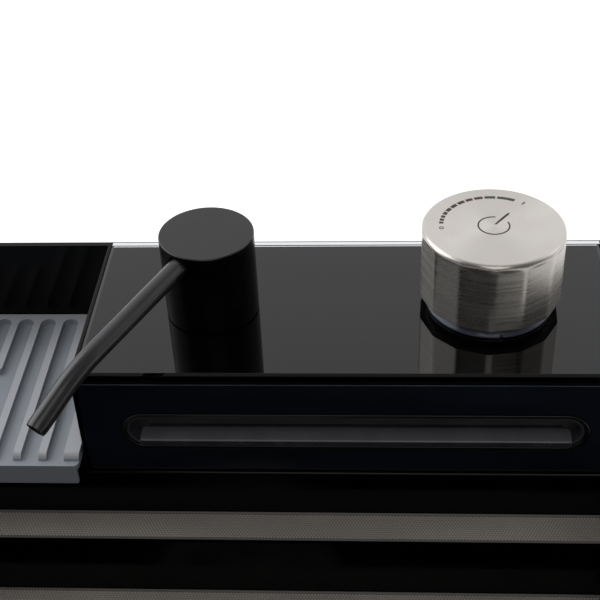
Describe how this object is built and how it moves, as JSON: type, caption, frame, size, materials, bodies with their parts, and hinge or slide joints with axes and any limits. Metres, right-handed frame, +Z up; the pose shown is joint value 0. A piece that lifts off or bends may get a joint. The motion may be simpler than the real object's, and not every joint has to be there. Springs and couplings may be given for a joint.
{
  "type": "workstation sink with waterfall tap deck",
  "caption": "Compact black sink with ledges, a raised glass-topped deck with waterfall slot, steel control knob and swivel spout, and a ribbed drain tray.",
  "frame": {"origin": "middle of the front rim's underside, on the worktop plane", "axes": "+X to the user's right, +Y to the back, +Z up"},
  "size_m": [0.4152, 0.4385, 0.4002],
  "materials": {
    "black_steel": "black PVD-coated stainless sheet with a fine honeycomb emboss",
    "black_glass": "black tempered glass, high gloss",
    "film_panel": "blue-black coated sheet, satin",
    "knob_steel": "spun and brushed stainless steel",
    "black_metal": "satin black coating",
    "steel": "satin stainless steel",
    "brass": "machined brass",
    "black_plastic": "matt moulded plastic",
    "grey_plastic": "matt moulded polypropylene",
    "white_plastic": "matt moulded plastic",
    "ceramic": "lapped alumina ceramic",
    "rubber": "matt rubber",
    "board": "green solder mask",
    "light_lens": "translucent diffuser"
  },
  "bodies": {
    "sink": {"sink_body": "black_steel", "module_housing": "black_plastic", "glass_gasket": "rubber", "glass_top": "black_glass", "front_panel": "film_panel", "nozzle_bezel": "black_metal", "nozzle_insert": "black_metal", "nozzle_lip": "black_metal", "waterfall_manifold": "black_plastic", "cartridge_body": "brass", "outlet_pipe": "brass", "cartridge_seal": "rubber", "stator_disc": "ceramic", "cartridge_bonnet": "brass", "cartridge_washer": "rubber", "cartridge_locknut": "brass", "push_switch": "board", "ring_base": "black_plastic", "led_board": "board", "light_ring": "light_lens", "riser": "brass", "swivel_bush": "white_plastic", "riser_washer": "rubber", "riser_locknut": "brass", "hose_connector": "white_plastic", "strainer_body": "steel", "strainer_gasket": "rubber", "strainer_locknut": "white_plastic", "slip_nut": "white_plastic", "tailpiece": "white_plastic", "overflow_plate": "steel", "overflow_elbow": "black_plastic", "overflow_hose": "black_plastic", "control_box": "black_plastic", "signal_cable": "rubber", "rim_clip_1": "steel", "rim_clip_2": "steel", "rim_clip_3": "steel", "rim_clip_4": "steel", "riser_seal_lower": "rubber", "riser_seal_upper": "rubber"},
    "press_carrier": {"thrust_collar": "white_plastic", "return_spring": "steel"},
    "knob": {"knob_shaft": "steel", "knob_core": "black_plastic", "knob_grub_screw": "steel", "knob_cap": "knob_steel"},
    "rotor": {"rotor_disc": "ceramic"},
    "spout": {"swivel_hub": "black_plastic", "post_shell": "black_metal", "post_cap": "black_metal", "spout_tube": "black_metal"},
    "tray": {"drain_tray": "grey_plastic", "tray_foot_1": "rubber", "tray_foot_2": "rubber", "tray_foot_3": "rubber", "tray_foot_4": "rubber"},
    "basket": {"strainer_basket": "steel", "basket_post": "steel", "basket_stopper": "rubber"}
  },
  "joints": [
    {"name": "knob_press", "type": "slide", "parent": "sink", "child": "press_carrier", "axis": [0, 0, -1], "range_m": [0, 0.001], "stiffness_N_per_m": 2500, "springref_m": -0.002, "deforming": ["return_spring"]},
    {"name": "knob_turn", "type": "hinge", "parent": "press_carrier", "child": "knob", "pos_m": [0.1306, 0.3631, 0.06], "axis": [0, 0, 1], "range_deg": [0, 141]},
    {"name": "rotor_turn", "type": "hinge", "parent": "sink", "child": "rotor", "pos_m": [0.1306, 0.3631, 0.06], "axis": [0, 0, 1], "range_deg": [0, 141]},
    {"name": "spout_swivel", "type": "hinge", "parent": "sink", "child": "spout", "pos_m": [0.0075, 0.358, 0.06], "axis": [0, 0, 1], "range_deg": [-35, 80]},
    {"name": "tray_slide", "type": "slide", "parent": "sink", "child": "tray", "axis": [0, -1, 0], "range_m": [0, 0.112]},
    {"name": "basket_lift", "type": "slide", "parent": "sink", "child": "basket", "axis": [0, 0, 1], "range_m": [0, 0.06]}
  ],
  "couplings": [
    {"joint": "rotor_turn", "follows": "knob_turn", "ratio": 1}
  ]
}
